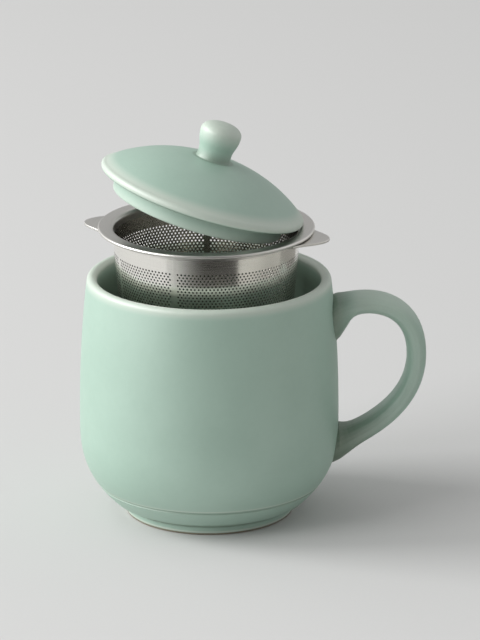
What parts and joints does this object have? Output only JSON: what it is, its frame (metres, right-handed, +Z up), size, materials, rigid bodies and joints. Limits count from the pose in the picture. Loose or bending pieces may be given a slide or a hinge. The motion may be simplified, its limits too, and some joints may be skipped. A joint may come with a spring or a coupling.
{
  "type": "lidded tea mug with infuser",
  "caption": "Rounded stoneware tea mug with a loop handle, a perforated steel infuser basket that lifts out by side tabs, and a loose domed lid with a knob, tipped open.",
  "frame": {"origin": "centre of the foot ring, on the surface the mug stands on", "axes": "+Z up along the mug's axis; +X from the axis towards the handle; -Y towards the viewer who has the handle on the right"},
  "size_m": [0.1323, 0.099, 0.1537],
  "materials": {
    "glaze": "satin celadon glaze, paler on its edges",
    "steel": "satin stainless sheet"
  },
  "bodies": {
    "mug": {"mug_body": "glaze", "mug_handle": "glaze"},
    "infuser": {"infuser_rim": "steel", "infuser_sleeve": "steel", "infuser_floor": "steel", "infuser_hem": "steel", "grip_tab_right": "steel", "grip_tab_left": "steel"},
    "lid": {"lid_shell": "glaze", "lid_knob": "glaze"}
  },
  "joints": [
    {"name": "infuser_lift", "type": "slide", "parent": "mug", "child": "infuser", "axis": [0, 0, 1], "range_m": [-0.0166, 0.055]},
    {"name": "lid_tilt", "type": "hinge", "parent": "infuser", "child": "lid", "pos_m": [0.03337, 0.00544, 0.1253], "axis": [-0.1564, 0.9877, 0], "range_deg": [-17.2, 57.8]}
  ]
}
